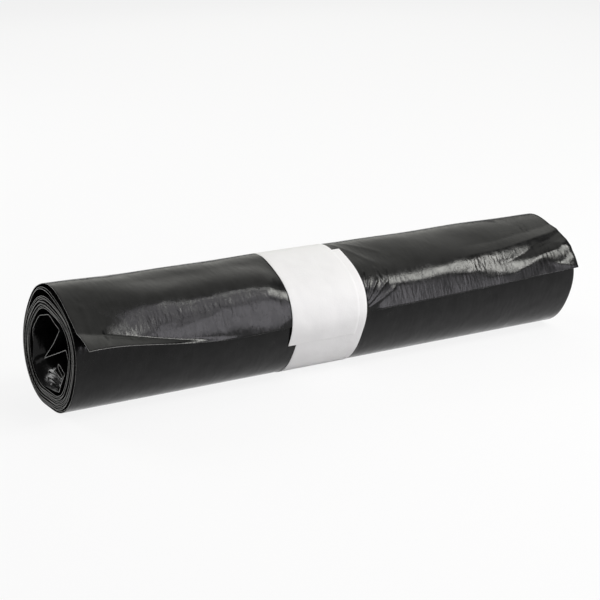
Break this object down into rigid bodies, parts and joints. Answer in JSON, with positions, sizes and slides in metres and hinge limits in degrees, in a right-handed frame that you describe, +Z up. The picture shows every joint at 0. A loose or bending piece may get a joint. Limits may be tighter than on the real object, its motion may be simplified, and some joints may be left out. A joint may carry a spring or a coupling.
{
  "type": "bin bag roll",
  "caption": "Roll of thin black plastic bin bags with no core, its first turns crumpled in the hollow and its free edge lifting, held by a lapped white paper band.",
  "frame": {"origin": "middle of the flat on the underside that the roll lies on, at mid-length", "axes": "+X along the roll towards the end with the smaller lift of the free edge, +Z up, -Y towards the side with the free edge"},
  "size_m": [0.35, 0.0972, 0.0738],
  "materials": {
    "black_film": "thin smooth black polyethylene film, soft gloss with fine creases",
    "white_paper": "uncoated white paper, matt"
  },
  "bodies": {
    "root": {"bag_roll": "black_film", "paper_band": "white_paper"}
  },
  "joints": []
}
